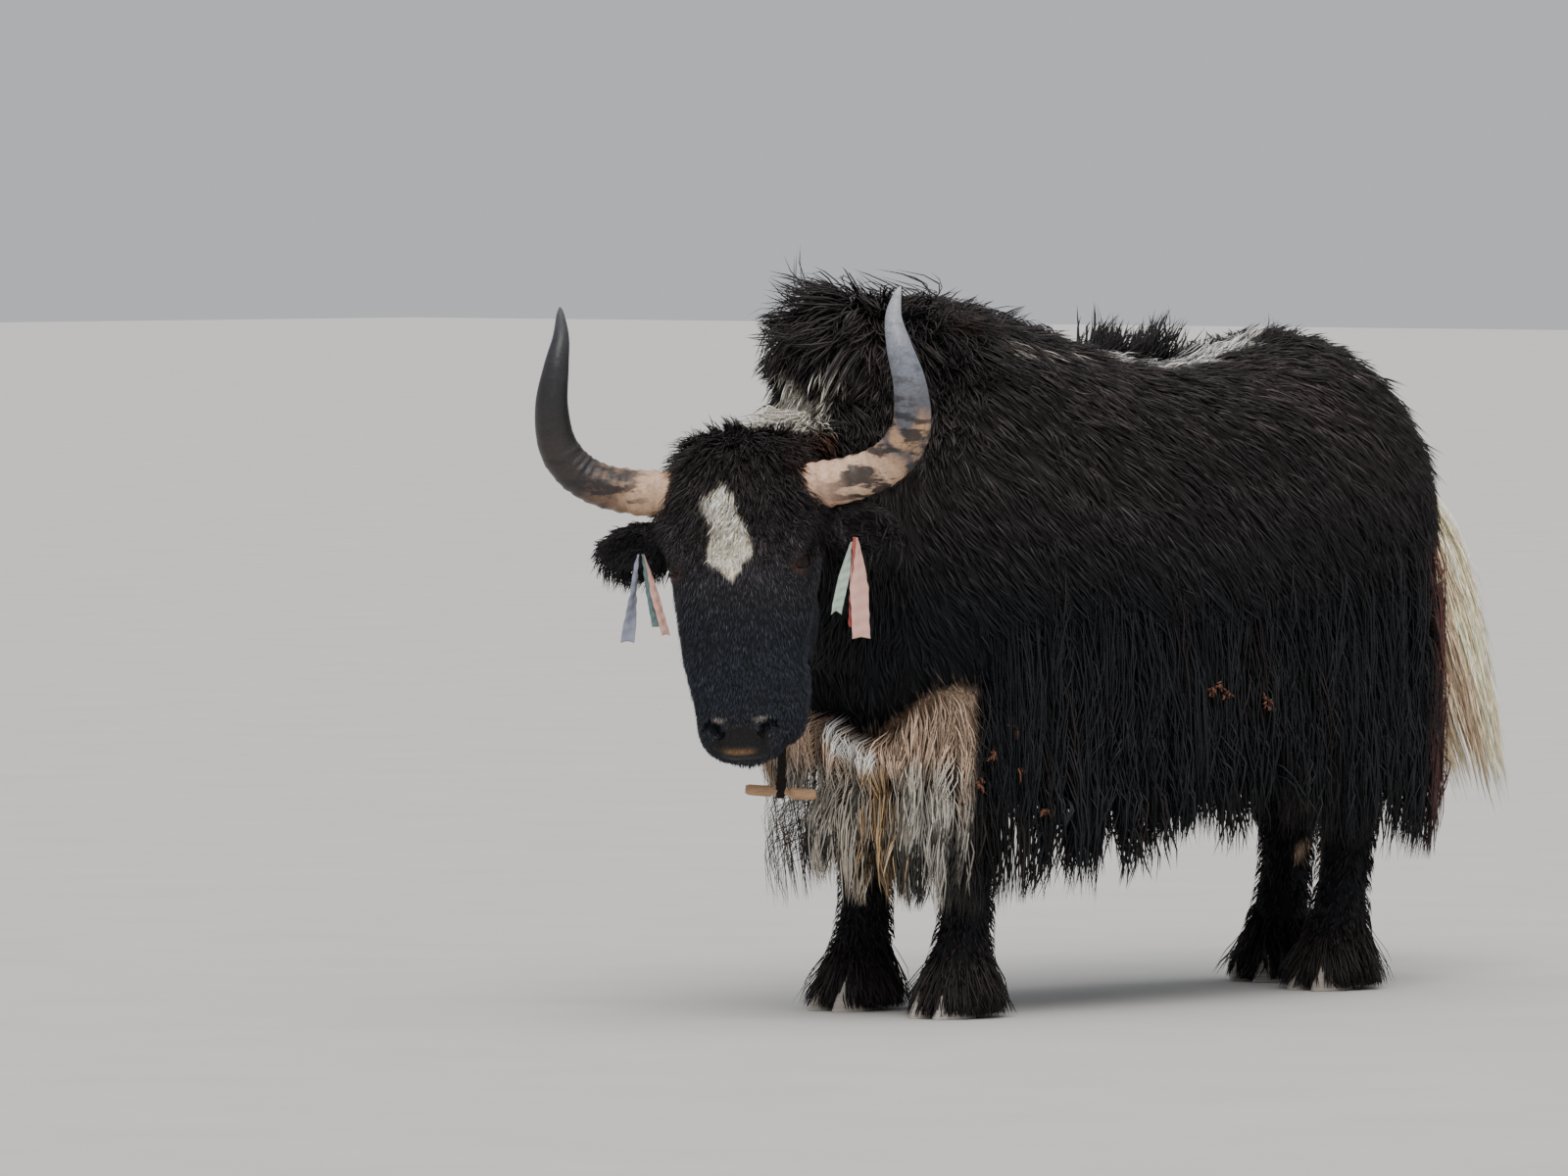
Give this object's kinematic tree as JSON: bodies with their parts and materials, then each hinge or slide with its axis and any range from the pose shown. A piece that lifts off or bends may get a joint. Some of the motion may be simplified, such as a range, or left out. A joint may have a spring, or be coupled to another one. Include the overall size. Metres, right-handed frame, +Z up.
{
  "type": "standing yak",
  "caption": "Life-size model of a standing long-haired yak with horns, turned head, ear ribbons and a wooden toggle on a throat strap.",
  "frame": {"origin": "middle of the outline seen from above, on the floor under the hooves", "axes": "+Z up, +X towards the tail, +Y towards the yak's right side; the yak faces -X"},
  "size_m": [2.348, 0.81, 1.4244],
  "materials": {
    "black_coat": "long black coat hair, matt",
    "white_coat": "cream white tail hair, matt",
    "horn": "horn, satin",
    "hoof": "hoof horn, satin",
    "eye": "wet dark eye, glossy",
    "pink_cloth": "pale pink ribbon cloth",
    "mint_cloth": "mint ribbon cloth",
    "red_cloth": "red ribbon cloth",
    "blue_cloth": "grey blue ribbon cloth",
    "teal_cloth": "dark teal ribbon cloth",
    "strap": "dark braided strap",
    "wood": "whittled bare wood"
  },
  "bodies": {
    "root": {"head": "black_coat", "neck": "black_coat", "shoulder_left": "black_coat", "shoulder_right": "black_coat", "flank_left": "black_coat", "flank_right": "black_coat", "haunch_left": "black_coat", "haunch_right": "black_coat", "leg_front_left": "black_coat", "leg_front_right": "black_coat", "leg_rear_left": "black_coat", "leg_rear_right": "black_coat", "ear_left": "black_coat", "ear_right": "black_coat", "tail": "white_coat", "horn_left": "horn", "horn_right": "horn", "eye_left": "eye", "eye_right": "eye", "hoof_front_left_inner": "hoof", "hoof_front_left_outer": "hoof", "hoof_front_right_inner": "hoof", "hoof_front_right_outer": "hoof", "hoof_rear_left_inner": "hoof", "hoof_rear_left_outer": "hoof", "hoof_rear_right_inner": "hoof", "hoof_rear_right_outer": "hoof", "ribbon_left_pink": "pink_cloth", "ribbon_left_red": "red_cloth", "ribbon_left_mint": "mint_cloth", "ribbon_right_blue": "blue_cloth", "ribbon_right_teal": "teal_cloth", "ribbon_right_pink": "pink_cloth", "toggle_strap": "strap", "toggle_bar": "wood"}
  },
  "joints": []
}
